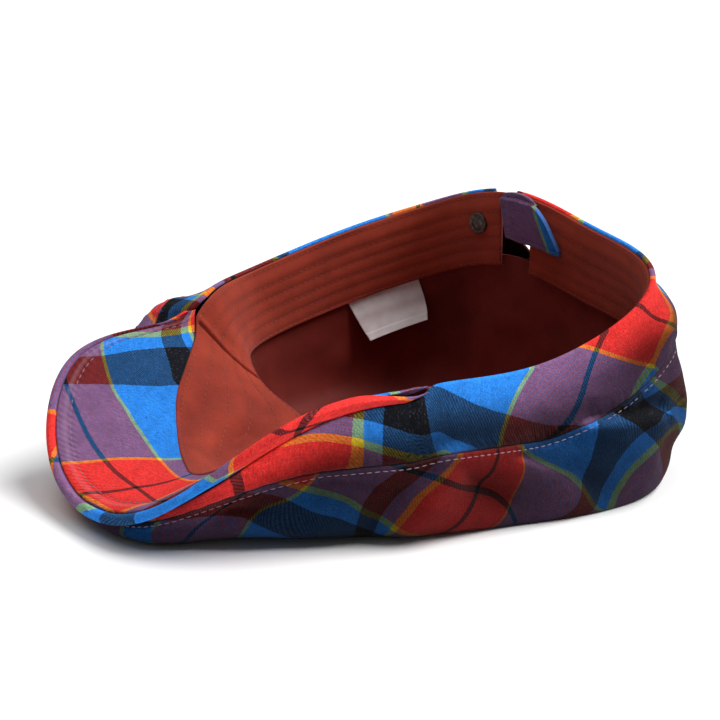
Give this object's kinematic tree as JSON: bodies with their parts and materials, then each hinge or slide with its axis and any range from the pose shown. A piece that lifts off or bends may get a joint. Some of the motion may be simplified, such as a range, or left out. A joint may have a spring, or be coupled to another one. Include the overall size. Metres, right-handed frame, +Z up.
{
  "type": "peaked flat cap",
  "caption": "Soft flat cap with a stiff curved peak, lying upside down on its crown: side and top panels, sweatband, lining, slotted back with a closing tab.",
  "frame": {"origin": "middle of the cap's bounding box, on the surface it lies on", "axes": "-Y to the front of the peak, +X to the wearer's right side, +Z up from the crown that it lies on to the open rim"},
  "size_m": [0.2016, 0.2502, 0.1011],
  "materials": {
    "outer_cloth": "brushed tartan flannel in red, blue, black and yellow",
    "sweatband_cotton": "rust cotton twill with rows of stitching",
    "lining_cloth": "dark rust plain lining",
    "label_satin": "white satin ribbon",
    "snap_metal": "dark enamel"
  },
  "bodies": {
    "root": {"top_panel": "outer_cloth", "side_panel_left": "outer_cloth", "side_panel_right": "outer_cloth", "peak_upper": "outer_cloth", "peak_under": "outer_cloth", "closure_tab": "outer_cloth", "sweatband": "sweatband_cotton", "lining": "lining_cloth", "care_label": "label_satin", "snap": "snap_metal"}
  },
  "joints": []
}
